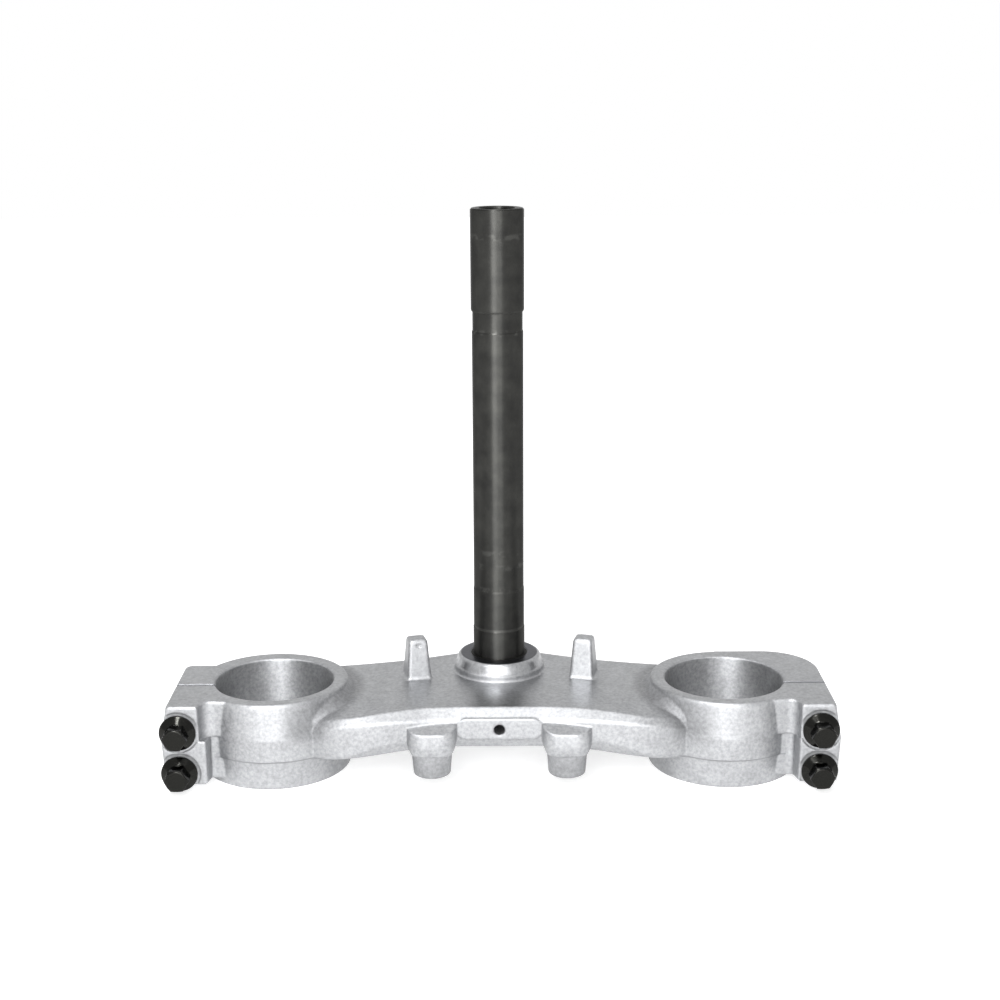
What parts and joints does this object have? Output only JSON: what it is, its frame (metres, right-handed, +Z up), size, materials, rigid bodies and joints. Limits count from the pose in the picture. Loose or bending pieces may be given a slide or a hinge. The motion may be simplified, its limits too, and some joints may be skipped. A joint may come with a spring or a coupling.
{
  "type": "motorcycle triple clamp",
  "caption": "Lower fork yoke of a motorcycle: cast body with split fork clamps at its ends, pinch bolts, steering stops, mudguard bosses and a pressed-in hollow steering stem.",
  "frame": {"origin": "on the steering axis, at the top face of the boss where the lower bearing seats", "axes": "+Z up the steering stem, +X across the bike to the clamp that is on the right in the picture, +Y away from the camera, to the rear of the bike"},
  "size_m": [0.313, 0.102, 0.2609],
  "materials": {
    "cast_aluminium": "shot-blasted casting",
    "stem_steel": "satin, dark phosphated",
    "bolt_steel": "black oxide"
  },
  "bodies": {
    "root": {"lower_clamp_casting": "cast_aluminium", "steering_stem": "stem_steel", "pinch_bolt_left_upper": "bolt_steel", "pinch_bolt_left_lower": "bolt_steel", "pinch_bolt_right_upper": "bolt_steel", "pinch_bolt_right_lower": "bolt_steel"}
  },
  "joints": []
}
